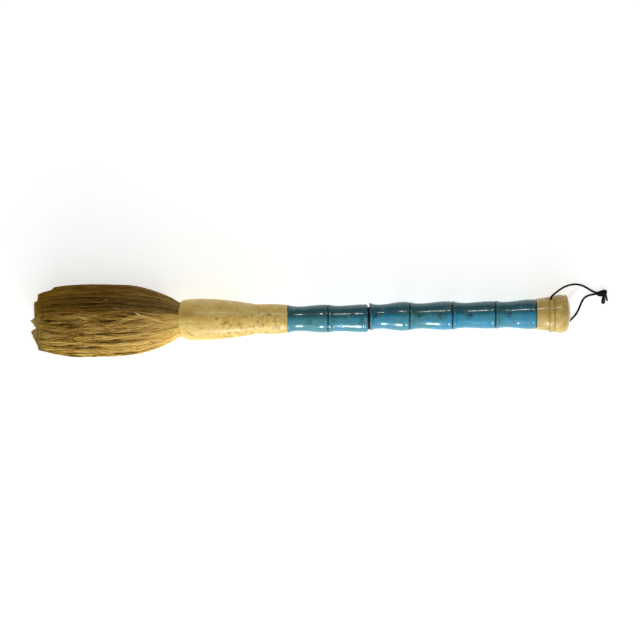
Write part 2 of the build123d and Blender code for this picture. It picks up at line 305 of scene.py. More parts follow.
# Pale hairs that stand off the surface: station, angle round the brush, length, slant in degrees.
STRAY_HAIRS = [
    (0.0728, 80, 0.0046, 24), (0.051, 57, 0.0042, -8), (0.035, 86, 0.0045, -16), (0.037, 134, 0.011, -5),
    (0.061, 129, 0.007, -9), (0.046, 102, 0.008, 12), (0.083, 97, 0.006, 10), (0.058, 71, 0.0052, 15),
    (0.026, 118, 0.006, -10), (0.066, 250, 0.006, 12), (0.044, 205, 0.007, -14), (0.08, 20, 0.005, 9),
]


# ======== Places, read from the frame ========
class Axis:
    """The middle line of one half of the brush. Angles run round it from +Y towards up."""

    def __init__(self, point, direction, start_x):
        self.along = Vector(direction).normalized()
        self.across = Vector((0, 0, 1)).cross(self.along).normalized()
        self.up = self.along.cross(self.across)
        point = Vector(point)
        self.start = point + self.along * ((start_x - point.x) / self.along.x)

    def at(self, station, angle=0.0, radius=0.0):
        side = self.across * math.cos(angle) + self.up * math.sin(angle)
        return self.start + self.along * station + side * radius

    def points(self, stations, angles, radii):
        """The same for arrays: one row of three numbers each."""
        sides = np.cos(angles)[..., None] * np.array(self.across)
        sides = sides + np.sin(angles)[..., None] * np.array(self.up)
        return np.array(self.start) + stations[..., None] * np.array(self.along) + sides * radii[..., None]


hair_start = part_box("hair_outer_tuft")[0].x
cap_mount = next(m for m in frame["record"]["mounts"] if m["name"] == "cap_end_face")
face_point = Vector(cap_mount["pos_m"])
face_normal = Vector(cap_mount["axis"])
rear_axis = Axis(face_point, face_normal, hair_start)
front_axis = Axis((face_point.x, 0, face_point.z), (face_normal.x, 0, face_normal.z), hair_start)
swing = frame["joints"][0]
hole_middle = Vector(swing["pos_m"])
hole_axis = Vector(swing["axis"]).normalized()


def span_of(node, axis):
    """The first and last station of a CAD node."""
    places = [(v.co - axis.start).dot(axis.along) for v in frame["nodes"][node].data.vertices]
    return min(places), max(places)


def outline_of(node, axis, step):
    """A CAD node's outer radius at even stations, found by looking in from its +Y side."""
    mesh = frame["nodes"][node].data
    tree = BVHTree.FromPolygons([v.co for v in mesh.vertices], [p.vertices for p in mesh.polygons])
    first, last = span_of(node, axis)
    count = max(3, round((last - first) / step) + 1)
    rows = []
    for station in np.linspace(first + END_INSET, last - END_INSET, count):
        _, _, _, distance = tree.ray_cast(axis.at(station, 0, LOOK_FROM), -axis.across)
        if distance is not None:
            rows.append((float(station), LOOK_FROM - distance))
    return rows


def add_object(name, data):
    made = bpy.data.objects.new(name, data)
    bpy.context.collection.objects.link(made)
    return made


# ======== Camera ========
def make_camera():
    data = bpy.data.cameras.new("camera")
    data.sensor_width = SENSOR_WIDTH
    data.lens = SENSOR_WIDTH * CAMERA_DISTANCE / VIEW_WIDTH
    camera = add_object("camera", data)
    camera.location = (*VIEW_CENTRE, AXIS_HEIGHT + CAMERA_DISTANCE)
    camera.rotation_euler = (0, 0, math.radians(CAMERA_ROLL_DEG))
    bpy.context.scene.camera = camera


# ======== Mesh tools ========
def mesh_object(name, vertices, faces):
    mesh = bpy.data.meshes.new(name)
    mesh.from_pydata(np.asarray(vertices).tolist(), [], faces)
    mesh.validate()
    mesh.polygons.foreach_set("use_smooth", [True] * len(mesh.polygons))
    return add_object(name, mesh)


def by_place(places, pairs):
    """Reads a list of (place, value) pairs at the given places."""
    return np.interp(places, [place for place, _ in pairs], [value for _, value in pairs])


def write_attribute(piece, name, values):
    attributes = piece.data.attributes
    attribute = attributes.get(name) or attributes.new(name, "FLOAT", "POINT")
    attribute.data.foreach_set("value", np.asarray(values, np.float32).ravel())


def ring_faces(rings, sides, closed=False):
    """Quads between rings of points laid out one after another."""
    faces = []
    for row in range(rings if closed else rings - 1):
        here, there = row * sides, (row + 1) % rings * sides
        for side in range(sides):
            after = (side + 1) % sides
            faces.append((here + side, here + after, there + after, there + side))
    return faces


def tube_faces(rings, sides):
    """The same with both ends closed."""
    end = (rings - 1) * sides
    return ring_faces(rings, sides) + [tuple(reversed(range(sides))), tuple(range(end, end + sides))]


def centreline(route):
    """Points along the smooth NURBS line of a cord's route."""
    data = bpy.data.curves.new("route", "CURVE")
    data.dimensions = "3D"
    data.resolution_u = ROUTE_RESOLUTION
    spline = data.splines.new("NURBS")
    spline.points.add(len(route) - 1)
    for place, point in zip(spline.points, route):
        place.co = (*point, 1)
    spline.order_u = 3
    spline.use_endpoint_u = True
    holder = add_object("route", data)
    bpy.context.view_layer.update()
    line = bpy.data.meshes.new_from_object(holder.evaluated_get(bpy.context.evaluated_depsgraph_get()))
    points = np.array([v.co for v in line.vertices])
    bpy.data.objects.remove(holder)
    return points


def cord_rings(points, radius):
    """Rings of a twisted cord round a line, each turned on from the last without a jump."""
    steps = np.linalg.norm(np.diff(points, axis=0), axis=1)
    travelled = np.concatenate([[0], np.cumsum(steps)])
    tangents = np.gradient(points, axis=0)
    tangents /= np.linalg.norm(tangents, axis=1, keepdims=True)
    normal = np.cross(tangents[0], (0, 0, 1) if abs(tangents[0][2]) < 0.9 else (1, 0, 0))
    angles = np.linspace(0, 2 * math.pi, CORD_SIDES, endpoint=False)
    rings = []
    for point, tangent, distance in zip(points, tangents, travelled):
        normal = normal - tangent * normal.dot(tangent)
        normal /= np.linalg.norm(normal)
        other = np.cross(tangent, normal)
        turned = angles - 2 * math.pi * distance / TWIST_PITCH
        lobes = np.abs(np.sin(turned * PLIES / 2))
        reach = radius * (PLY_VALLEY + PLY_SWELL * lobes)
        outward = np.cos(angles)[:, None] * normal + np.sin(angles)[:, None] * other
        rings.append(point + reach[:, None] * outward)
    return np.array(rings)


def cord_mesh(name, lines, radius):
    """One closed twisted tube for each line, as one piece."""
    vertices, faces = [], []
    for points in lines:
        rings = cord_rings(points, radius)
        first = len(vertices)
        vertices.extend(rings.reshape(-1, 3))
        faces.extend(tuple(first + i for i in face) for face in tube_faces(len(rings), CORD_SIDES))
    return mesh_object(name, vertices, faces)


# ======== Hanging loop ========
def beside_hole(point):
    return Vector((hole_middle.x + point[0], hole_middle.y + point[1], point[2]))


def make_loop(material):
    pieces = {}
    for name, side, route in (("upper", 1, UPPER_ROUTE), ("lower", -1, LOWER_ROUTE)):
        mouth = hole_middle + hole_axis * (side * MOUTH_REACH)
        stub = hole_middle + hole_axis * (side * STUB_REACH)
        points = centreline([mouth, stub] + [beside_hole(point) for point in route])
        strand = cord_mesh(f"hanging_cord_{name}", [points], CORD_DIAMETER / 2)
        pieces[name] = (strand, mouth, points)
        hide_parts(f"loop_cord_{name}")
    knot_lines = []
    for route in KNOT_ROUTES:
        route = [beside_hole([m + p * MM for m, p in zip(KNOT_MIDDLE, point)]) for point in route]
        knot_lines.append(centreline(route))
    knot = cord_mesh("hanging_cord_knot", knot_lines, CORD_DIAMETER / 2)
    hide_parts("cord_knot")
    for piece in (pieces["upper"][0], pieces["lower"][0], knot):
        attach(piece, "hanging_loop")
        piece.data.materials.append(material)
    dress("loop_cord_in_hole", material)


def dress(node, material):
    """Gives a CAD node its material."""
    mesh = frame["nodes"][node].data
    mesh.materials.clear()
    mesh.materials.append(material)


# ======== Materials ========
class Recipe:
    """Short calls that build one procedural material."""

    def __init__(self, name, **shader_values):
        self.material = bpy.data.materials.new(name)
        self.material.use_nodes = True
        self.tree = self.material.node_tree
        self.shader = self.tree.nodes["Principled BSDF"]
        for socket, value in shader_values.items():
            self.shader.inputs[socket.replace("_", " ")].default_value = value
        self.places = self.tree.nodes.new("ShaderNodeTexCoord").outputs["Object"]

    def node(self, kind, inputs=(), **settings):
        made = self.tree.nodes.new(kind)
        for key, value in settings.items():
            setattr(made, key, value)
        for key, value in dict(inputs).items():
            if isinstance(value, bpy.types.NodeSocket):
                self.tree.links.new(value, made.inputs[key])
            else:
                made.inputs[key].default_value = value
        return made

    def stretched(self, x):
        """Places for noise that is drawn out along the brush."""
        return self.node("ShaderNodeMapping", {"Vector": self.places, "Scale": (x, 1, 1)}).outputs[0]

    def noise(self, scale, detail=3, vector=None, roughness=0.5, distortion=0.0):
        inputs = {"Vector": vector or self.places, "Scale": scale, "Detail": detail}
        inputs |= {"Roughness": roughness, "Distortion": distortion}
        return self.node("ShaderNodeTexNoise", inputs).outputs["Fac"]

    def cell_edges(self, scale, vector):
        inputs = {"Vector": vector, "Scale": scale}
        return self.node("ShaderNodeTexVoronoi", inputs, feature="DISTANCE_TO_EDGE").outputs["Distance"]

    def attribute(self, name):
        return self.node("ShaderNodeAttribute", attribute_name=name).outputs["Fac"]

    def fade(self, value, low, high, to_low=0.0, to_high=1.0):
        """Maps low..high to to_low..to_high, and holds outside."""
        inputs = {"Value": value, "From Min": low, "From Max": high, "To Min": to_low, "To Max": to_high}
        return self.node("ShaderNodeMapRange", inputs).outputs["Result"]

    def maths(self, operation, a, b):
        return self.node("ShaderNodeMath", {0: a, 1: b}, operation=operation).outputs[0]

    def times(self, a, b):
        return self.maths("MULTIPLY", a, b)

    def mix(self, share, a, b, strength=1.0):
        if strength != 1:
            share = self.times(share, strength)
        a, b = (value if isinstance(value, bpy.types.NodeSocket) else (*value, 1) for value in (a, b))
        return self.node("ShaderNodeMix", {0: share, 6: a, 7: b}, data_type="RGBA").outputs[2]

    def colour(self, socket):
        self.tree.links.new(socket, self.shader.inputs["Base Color"])

    def roughness(self, socket):
        self.tree.links.new(socket, self.shader.inputs["Roughness"])

    def bump(self, height, distance, strength=1.0):
        made = self.node("ShaderNodeBump", {"Height": height, "Distance": distance, "Strength": strength})
        self.tree.links.new(made.outputs[0], self.shader.inputs["Normal"])


def bone_material():
    """Cream bone with tan clouding, fine grain along its length and small brown pores."""
    made = Recipe("pale_bone", Specular_IOR_Level=0.4, Coat_Weight=0.12, Coat_Roughness=0.16)
    clouds = made.fade(made.noise(75, 3), 0.42, 0.66)
    base = made.mix(clouds, (0.78, 0.57, 0.17), (0.7, 0.45, 0.085))
    grain = made.noise(900, 3, made.stretched(0.25), 0.6)
    base = made.mix(made.fade(grain, 0.35, 0.7, 0, 0.35), base, (0.84, 0.65, 0.24))
    blotches = made.noise(380, 4, made.stretched(0.8), 0.68)
    share = made.attribute("pore_share")
    stain = made.times(made.fade(blotches, 0.49, 0.6), share)
    base = made.mix(stain, base, (0.44, 0.2, 0.015), 0.8)
    base = made.mix(made.fade(made.attribute("mark"), 0.0, 1.2), base, (0.4, 0.21, 0.03))
    pores = made.fade(made.noise(560, 3, made.stretched(0.7), 0.6), 0.585, 0.66)
    chosen = made.fade(made.noise(190, 2), 0.44, 0.56)
    pore = made.times(made.times(pores, chosen), share)
    pore = made.maths("MAXIMUM", pore, made.fade(made.attribute("mark"), 1.2, 1.9))
    base = made.mix(pore, base, (0.2, 0.095, 0.012))
    rubbed = made.fade(made.attribute("rim_distance"), 0.0009, 0.0003)
    base = made.mix(rubbed, base, (0.88, 0.74, 0.36), 0.2)
    made.colour(base)
    made.roughness(made.fade(grain, 0.3, 0.8, 0.36, 0.52))
    height = made.maths("SUBTRACT", made.times(grain, 0.25), pore)
    made.bump(height, 0.00008, 0.5)
    return made.material


def turquoise_material():
    """Polished turquoise: teal and blue clouds, dark curved cracks and pits, grime and painted shade at the
    joints, a pale line by each joint that is partly a painted highlight, and painted shade on its +Y side.
    """
    made = Recipe("turquoise", Specular_IOR_Level=0.2, Coat_Weight=0.5, Coat_Roughness=0.04)
    clouds = made.noise(80, 3, distortion=0.7)
    azure = made.fade(made.maths("ADD", clouds, made.attribute("blueness")), 0.42, 0.72)
    base = made.mix(azure, (0.04, 0.225, 0.275), (0.014, 0.265, 0.49))
    # Painted shade: darker teal towards the +Y side, with a ragged edge.
    ragged = made.fade(made.noise(140, 3), 0.3, 0.7, -0.25, 0.25)
    shade = made.maths("ADD", made.attribute("painted_shade"), ragged)
    base = made.mix(made.fade(shade, 0.0, 1.0, 0.0, 0.76), base, (0.022, 0.074, 0.08))
    mottling = made.fade(made.noise(380, 4, roughness=0.65), 0.42, 0.72)
    base = made.mix(mottling, base, (0.012, 0.09, 0.125), 0.4)
    pale = made.fade(made.noise(210, 3, made.stretched(0.6), 0.6), 0.58, 0.72, 0, 0.5)
    base = made.mix(pale, base, (0.1, 0.34, 0.42))
    swirl = made.node("ShaderNodeTexNoise", {"Vector": made.places, "Scale": 170, "Detail": 2})
    swing_by = {0: swirl.outputs["Color"], 1: (0.01,) * 3}
    shift = made.node("ShaderNodeVectorMath", swing_by, operation="MULTIPLY")
    bent = made.node("ShaderNodeVectorMath", {0: made.places, 1: shift.outputs[0]}, operation="ADD")
    edges = made.cell_edges(150, bent.outputs[0])
    patches = made.fade(made.attribute("crazing"), 0.3, 0.62)
    crack = made.times(made.fade(edges, 0.085, 0.02), patches)
    base = made.mix(patches, base, (0.012, 0.085, 0.11), 0.38)
    base = made.mix(crack, base, (0.004, 0.022, 0.03), 0.85)
    pits = made.times(made.fade(made.noise(300, 2), 0.67, 0.72), 0.8)
    base = made.mix(pits, base, (0.006, 0.03, 0.038))
    rim = made.attribute("rim_distance")
    # A pale line on the bead beside each joint: partly worn glaze, partly a painted highlight on its rounded edge.
    pale_line_and_highlight = made.times(made.fade(rim, 0.0011, 0.0014), made.fade(rim, 0.002, 0.0016))
    uneven = made.fade(made.noise(260, 2), 0.46, 0.66, 0.0, 0.55)
    base = made.mix(made.times(pale_line_and_highlight, uneven), base, (0.3, 0.3, 0.18))
    # Darkest within half a millimetre of each end: grime in the joint, with painted shade in its groove.
    base = made.mix(made.fade(rim, 0.0005, 0.0001), base, (0.01, 0.022, 0.022))
    made.colour(base)
    made.roughness(made.fade(mottling, 0, 1, 0.22, 0.38))
    relief = made.times(made.maths("ADD", crack, pits), -1)
    made.bump(relief, 0.00006, 0.5)
    return made.material


def horn_material():
    """Tan horn with faint cloudy grain, a dull polish, and painted shade in its cut rings."""
    made = Recipe("tan_horn", Specular_IOR_Level=0.25, Coat_Weight=0.35, Coat_Roughness=0.13)
    clouds = made.fade(made.noise(170, 4, roughness=0.65), 0.38, 0.62)
    base = made.mix(clouds, (0.655, 0.465, 0.143), (0.5, 0.335, 0.088))
    grain = made.noise(1100, 3, made.stretched(0.2), 0.6)
    base = made.mix(made.fade(grain, 0.4, 0.75, 0, 0.4), base, (0.5, 0.34, 0.09))
    specks = made.times(made.fade(made.noise(600, 2), 0.64, 0.72), 0.6)
    base = made.mix(specks, base, (0.3, 0.18, 0.04))
    # Painted shade in the cut rings.
    base = made.mix(made.attribute("ring_shade"), base, (0.26, 0.18, 0.045), 0.55)
    base = made.mix(made.attribute("rubbed_edge"), base, (0.78, 0.66, 0.36), 0.6)
    made.colour(base)
    made.roughness(made.fade(grain, 0.3, 0.8, 0.3, 0.46))
    made.bump(grain, 0.00004, 0.35)
    return made.material


def hair_material():
    """Coarse hair, every one its own shade: tan at the root, brown along the belly, olive at the tip."""
    made = Recipe("hair", Specular_IOR_Level=0.14)
    along = made.attribute("along")
    root = made.mix(made.fade(along, 0.05, 0.55), (1.0, 0.67, 0.205), (0.62, 0.352, 0.049))
    body = made.mix(made.fade(along, 0.8, 0.97), root, (0.59, 0.358, 0.04))
    # The tone carries the hairs' own variation and their painted light and shade.
    tone = made.attribute("tone")
    dark = made.mix(made.fade(tone, 0.56, 0.06), body, (0.062, 0.0268, 0.0042))
    light = made.mix(made.fade(tone, 0.62, 0.95), dark, (1.0, 0.735, 0.25))
    # Tones over 1.3 give the stray hairs' near-white, partly a painted glint.
    made.colour(made.mix(made.fade(tone, 1.3, 1.6), light, (1.0, 0.95, 0.8)))
    made.roughness(made.fade(tone, 0, 1, 0.6, 0.42))
    return made.material


def plain_material(name, first, second, scale, roughness, bump=0.00003, stretch=1, **shader_values):
    """Two shades clouded together with a fine matching relief."""
    made = Recipe(name, **shader_values)
    cloud = made.noise(scale, 4, made.stretched(stretch), 0.6)
    made.colour(made.mix(made.fade(cloud, 0.35, 0.68), first, second))
    made.roughness(made.fade(cloud, 0.3, 0.7, roughness, roughness + 0.12))
    made.bump(cloud, bump, 0.6)
    return made.material


def cord_material():
    black, brown = (0.006, 0.002, 0.0018), (0.014, 0.0055, 0.0045)
    return plain_material("cord", black, brown, 2400, 0.65, 0.00006, Specular_IOR_Level=0.1)


# ======== Turned pieces ========
def skin_rows(rows, bevel):
    """A turned outline whose two ends are bevelled down from the radius found a little way in."""
    first, last = rows[0][0], rows[-1][0]
    inner = [row for row in rows if first + EDGE_ZONE < row[0] < last - EDGE_ZONE]
    ends = [(first, inner[0][1] - bevel), (first + bevel, inner[0][1])]
    return ends + inner + [(last - bevel, inner[-1][1]), (last, inner[-1][1] - bevel)]


def turned(name, axis, outline, skin, carve, sides, closed):
    """A turned piece. skin is the range of rows that carve shapes and that have a rim distance."""
    first, last = outline[skin[0]][0], outline[skin[-1]][0]
    vertices, rim = [], []
    for index, (station, radius) in enumerate(outline):
        for side in range(sides):
            angle = 2 * math.pi * side / sides
            reach = radius
            if index in skin:
                reach += carve(station, angle, axis.at(station, angle, radius))
            vertices.append(axis.at(station, angle, reach))
            rim.append(min(station - first, last - station) if index in skin else 1.0)
    faces = ring_faces(len(outline), sides, True) if closed else tube_faces(len(outline), sides)
    piece = mesh_object(name, vertices, faces)
    if closed:
        piece.data.flip_normals()
    piece.data.set_sharp_from_angle(angle=SHARP_ANGLE)
    write_attribute(piece, "rim_distance", rim)
    return piece


def lathe(name, axis, rows, carve, bevel=EDGE_BEVEL):
    """A turned tube with a straight bore."""
    skin = skin_rows(rows, bevel)
    outline = [(skin[0][0], HANDLE_BORE)] + skin + [(skin[-1][0], HANDLE_BORE)]
    return turned(name, axis, outline, range(1, len(skin) + 1), carve, STONE_SIDES, True)


def pit(point, scale, threshold, depth):
    """A pit where smooth noise passes a threshold."""
    value = noise.noise(point * scale)
    return -depth * min(1.0, max(0.0, value - threshold) / PIT_SLOPE)


def uneven(point, scale, height):
    return height * noise.noise(point * scale)


def bump_at(distance, middle, half_width, height):
    return height * math.exp(-(((distance - middle) / half_width) ** 2))


def finish_piece(piece, node, material):
    piece.data.materials.append(material)
    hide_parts(node)
    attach(piece, "brush")


def make_segments(material):
    for number, blueness in enumerate(BLUENESS, start=1):
        node = f"handle_segment_{number}"
        axis = front_axis if number <= SECTIONS_IN_FRONT else rear_axis
        rows = outline_of(node, axis, STONE_ROW_STEP)
        first, last = rows[0][0], rows[-1][0]
        shift = Vector((number * SHIFT_X, number * SHIFT_Y, 0))
        fitted = number == 1  # its front edge meets the collar without a bead or a dark line

        def carve(station, angle, point):
            """A fine bead beside each joint, and the slight unevenness of stone cut by hand."""
            rim = last - station if fitted else min(station - first, last - station)
            bead = bump_at(rim, *BEAD) + bump_at(rim, *BEAD_HOLLOW)
            return bead + uneven(point + shift, *STONE_UNEVEN) + pit(point + shift, *STONE_PITS)

        piece = lathe(f"turquoise_section_{number}", axis, rows, carve)
        write_attribute(piece, "blueness", np.full(len(piece.data.vertices), blueness))
        places = unrolled(piece, axis)
        crazed = []
        for station, degrees, half_length in CRACKED_PLACES:
            crazed.append(blot(places, station, degrees, half_length, half_length * CRACKS_WIDTH))
        write_attribute(piece, "crazing", np.max(crazed, axis=0))
        if fitted:
            write_attribute(piece, "rim_distance", last - places[0])
        # Painted shade: how far towards the shaded +Y side each vertex lies.
        write_attribute(piece, "painted_shade", np.interp(np.cos(places[1]), PAINTED_SHADE_FROM, PAINTED_SHADE_SHARE))
        finish_piece(piece, node, material)


def unrolled(piece, axis):
    """Each vertex's station, angle and radius round an axis."""
    offsets = np.array([v.co for v in piece.data.vertices]) - np.array(axis.start)
    across, up = offsets @ np.array(axis.across), offsets @ np.array(axis.up)
    return offsets @ np.array(axis.along), np.arctan2(up, across), np.hypot(across, up)


def blot(places, station, degrees, half_length, half_width, slant=0):
    """A soft oval on the unrolled skin: 1 at its middle, fading outwards."""
    stations, angles, radii = places
    turn = (angles - math.radians(degrees) + math.pi) % (2 * math.pi) - math.pi
    u, v = stations - station, turn * radii
    c, s = math.cos(math.radians(slant)), math.sin(math.radians(slant))
    return np.exp(-(((u * c + v * s) / half_length) ** 2) - ((v * c - u * s) / half_width) ** 2)


def pore_shares(piece):
    """Pores crowd towards the collar and the brush's upper and -Y sides."""
    first, last = span_of("ferrule_cup", front_axis)
    stations, angles, radii = unrolled(piece, front_axis)
    along = np.interp(stations, [first, first + PORES_FADE, last - PORES_FADE], PORES_ALONG)
    return along * by_place(radii * np.cos(angles), PORES_ACROSS)


def make_ferrule(material):
    def carve(station, angle, point):
        drawn_out = Vector((point.x * 0.5, point.y, point.z))  # its pits are longer than they are wide
        return uneven(point, *BONE_UNEVEN) + pit(drawn_out, *BONE_PITS)

    cup = make_cup("bone_cup", outline_of("ferrule_cup", front_axis, BONE_ROW_STEP), carve)
    collar_rows = outline_of("ferrule_collar", front_axis, BONE_ROW_STEP)
    collar = lathe("bone_collar", front_axis, collar_rows, carve, FITTED_BEVEL)
    for piece, node in ((cup, "ferrule_cup"), (collar, "ferrule_collar")):
        write_attribute(piece, "pore_share", pore_shares(piece))
        places = unrolled(piece, front_axis)
        marks = [strength * blot(places, *shape) for *shape, strength in BONE_MARKS]
        write_attribute(piece, "mark", np.max(marks, axis=0))
        finish_piece(piece, node, material)


def make_cup(name, rows, carve):
    """The cup: its turned skin, a rounded lip, and the hollow that the hair's root fills."""
    lip_station, lip_outer = rows[0]
    lip_middle = (LIP_RADIUS + lip_outer) / 2
    lip_half = (lip_outer - LIP_RADIUS) / 2
    floor = lip_station + CUP_DEPTH
    hollow = [(floor, HANDLE_BORE), (floor, CUP_FLOOR_RADIUS), (lip_station + MOUTH_DEPTH, LIP_RADIUS)]
    lip = []
    for step in range(1, LIP_STEPS):
        turn = math.pi * step / LIP_STEPS
        station = lip_station + LIP_ROUNDING - LIP_ROUNDING * math.sin(turn)
        lip.append((station, lip_middle - lip_half * math.cos(turn)))
    skin = skin_rows(rows, FITTED_BEVEL)[3:]  # the lip stands in for the first three rows
    outline = hollow + lip + skin + [(skin[-1][0], HANDLE_BORE)]
    start = len(hollow) + len(lip)
    piece = turned(name, front_axis, outline, range(start, start + len(skin)), carve, CUP_SIDES, True)
    for vertex, station, angle in zip(piece.data.vertices, *unrolled(piece, front_axis)[:2]):
        near_lip = max(0.0, 1 - abs(station - lip_station) / LIP_REACH)
        vertex.co += front_axis.along * float(by_place(math.cos(angle), LIP_SWEEP)) * near_lip
    return piece


def groove_shares(rows):
    """How deep each row of an outline lies below the skin either side of it, from 0 to 1."""
    stations, radii = np.array(rows).T
    before = np.interp(stations - RING_HALF_WIDTH, stations, radii)
    after = np.interp(stations + RING_HALF_WIDTH, stations, radii)
    ringed = stations < stations[-1] - RINGS_FROM_FACE
    return stations, np.clip(((before + after) / 2 - radii) / RING_DEPTH, 0, 1) * ringed


def make_cap(material):
    """The end cap: a blind socket for the rod, two cut rings, and the cross hole for the cord."""
    rows = outline_of("end_cap", rear_axis, HORN_ROW_STEP)
    skin = skin_rows(rows, CAP_BEVEL)[:-2] + rows[-2:]  # only its front edge is bevelled
    first, last = skin[0][0], skin[-1][0]
    socket = [(first + SOCKET_DEPTH, SOCKET_RADIUS), (first, SOCKET_RADIUS)]
    outline = socket + skin + [(last, skin[-1][1] * 0.5)]

    def carve(station, angle, point):
        height = SHOULDER_HEIGHT + SHOULDER_LEAN * math.cos(angle)
        shoulder = bump_at(last - station, SHOULDER_FROM_FACE, SHOULDER_HALF_WIDTH, height)
        return shoulder + uneven(point, *HORN_UNEVEN) + pit(point, *HORN_PITS)

    skin_range = range(len(socket), len(socket) + len(skin))
    piece = turned("horn_cap", rear_axis, outline, skin_range, carve, CAP_SIDES, False)
    stations, shares = groove_shares(rows)
    places = unrolled(piece, rear_axis)[0]
    # Painted shade: how deep in a cut ring each vertex lies.
    write_attribute(piece, "ring_shade", np.interp(places, stations, shares))
    write_attribute(piece, "rubbed_edge", by_place(places - first, RUBBED_EDGE))
    drill(piece, hole_middle, hole_axis, CROSS_HOLE_RADIUS)
    finish_piece(piece, "end_cap", material)


def drill(piece, middle, direction, radius):
    """Cuts a round hole right through a piece."""
    across = direction.orthogonal().normalized()
    other = direction.cross(across)
    circle = []
    for side in range(BIT_SIDES):
        turn = 2 * math.pi * side / BIT_SIDES
        circle.append((across * math.cos(turn) + other * math.sin(turn)) * radius)
    vertices = [middle + place + direction * reach for reach in (-BIT_REACH, BIT_REACH) for place in circle]
    bit = mesh_object("drill_bit", vertices, tube_faces(2, BIT_SIDES))
    cut = piece.modifiers.new("hole", "BOOLEAN")
    cut.operation, cut.solver, cut.object = "DIFFERENCE", "EXACT", bit
    bpy.context.view_layer.update()
    drilled = bpy.data.meshes.new_from_object(piece.evaluated_get(bpy.context.evaluated_depsgraph_get()))
    piece.modifiers.clear()
    piece.data = drilled
    piece.data.set_sharp_from_angle(angle=SHARP_ANGLE)
    bpy.data.objects.remove(bit)


def dress_inner_pieces():
    darkest, dark = (0.006, 0.009, 0.009), (0.016, 0.018, 0.015)
    glue = plain_material("dark_glue", darkest, dark, 900, 0.7, Specular_IOR_Level=0.15)
    wood = plain_material("rod_wood", (0.3, 0.18, 0.09), (0.17, 0.09, 0.04), 600, 0.6, stretch=0.1)
    resin = plain_material("resin", (0.2, 0.09, 0.02), (0.1, 0.04, 0.01), 300, 0.25, Coat_Weight=0.3)
    thread = plain_material("thread", (0.6, 0.52, 0.38), (0.45, 0.37, 0.24), 1800, 0.7)
    for node in frame["nodes"]:
        if node.startswith("seam_glue") or node == "open_joint_core":
            dress(node, glue)
    dress("seam_glue_0", plain_material("bone_dust", (0.42, 0.3, 0.1), (0.26, 0.2, 0.08), 900, 0.7))
    dress("core_rod", wood)
    dress("root_resin_plug", resin)
    dress("binding_thread", thread)


# ======== Hair ========
hair_rows = outline_of("hair_outer_tuft", front_axis, HAIR_ROW_STEP)
mouth_station = span_of("ferrule_cup", front_axis)[0]


def tuft_rows(first, inside):
    return [row for row in hair_rows if first < row[0] < mouth_station + inside]


def belly_radius(stations):
    """The tuft's radius at each station, held constant beyond the trimmed end."""
    return by_place(stations, tuft_rows(*TUFT_SKIN))


def ripple(rng, owners, share, shortest, longest):
    """A sine along the hairs for each owner (a lock or a clump), given per hair."""
    count = int(owners.max()) + 1
    turns = WAVE_UNIT / rng.uniform(shortest, longest, count)
    phase = rng.uniform(0, 2 * math.pi, count)
    return np.sin(2 * math.pi * share * turns[owners][:, None] + phase[owners][:, None])


def wave(rng, owners, share, height, shortest, longest):
    """Slow waves along the hairs, of a height that differs from owner to owner."""
    size = rng.normal(0, 1, int(owners.max()) + 1) * height
    return size[owners][:, None] * ripple(rng, owners, share, shortest, longest)


def pinch(rng, owners, share, least, shortest, longest):
    """How tightly each owner's hairs gather along their length: 1 is loose."""
    return least + (1 - least) * (0.5 + 0.5 * ripple(rng, owners, share, shortest, longest))


def strand_mesh(name, centres, radii, tone, along):
    """Thin three-sided hairs. centres is hairs x points x 3."""
    hairs, count, _ = centres.shape
    tangents = np.gradient(centres, axis=1)
    tangents /= np.linalg.norm(tangents, axis=2, keepdims=True)
    start, axis_way = np.array(front_axis.start), np.array(front_axis.along)
    outward = centres - start
    outward -= (outward @ axis_way)[..., None] * axis_way
    outward -= (outward * tangents).sum(axis=2, keepdims=True) * tangents
    outward /= np.maximum(np.linalg.norm(outward, axis=2, keepdims=True), 1e-9)
    sideways = np.cross(tangents, outward)
    corners = []
    for corner in range(3):
        turn = math.pi / 2 + 2 * math.pi * corner / 3
        corners.append(centres + radii[..., None] * (math.sin(turn) * outward + math.cos(turn) * sideways))
    vertices = np.stack(corners, axis=2).reshape(-1, 3)
    hair_first = (np.arange(hairs) * count * 3)[:, None, None]
    ring_first = (np.arange(count - 1) * 3)[:, None]
    here = hair_first + ring_first + np.arange(3)
    after = hair_first + ring_first + np.array([1, 2, 0])
    quads = np.stack([here, after, after + 3, here + 3], axis=-1).reshape(-1, 4)
    roots = hair_first[:, 0] + np.array([2, 1, 0])
    tips = hair_first[:, 0] + (count - 1) * 3 + np.arange(3)
    piece = mesh_object(name, vertices, quads.tolist() + roots.tolist() + tips.tolist())
    for attribute, values in (("tone", tone), ("along", along)):
        write_attribute(piece, attribute, np.repeat(np.broadcast_to(values, (hairs, count)), 3))
    return piece


def end_station(across, up):
    """Where hairs end, from their place on the trimmed end as shares of its radius."""
    steps = by_place(across, END_STEPS) * MM
    evened = by_place(np.abs(up), EVENED)
    return steps + (EVEN_END - steps) * evened + END_DOME * up**2


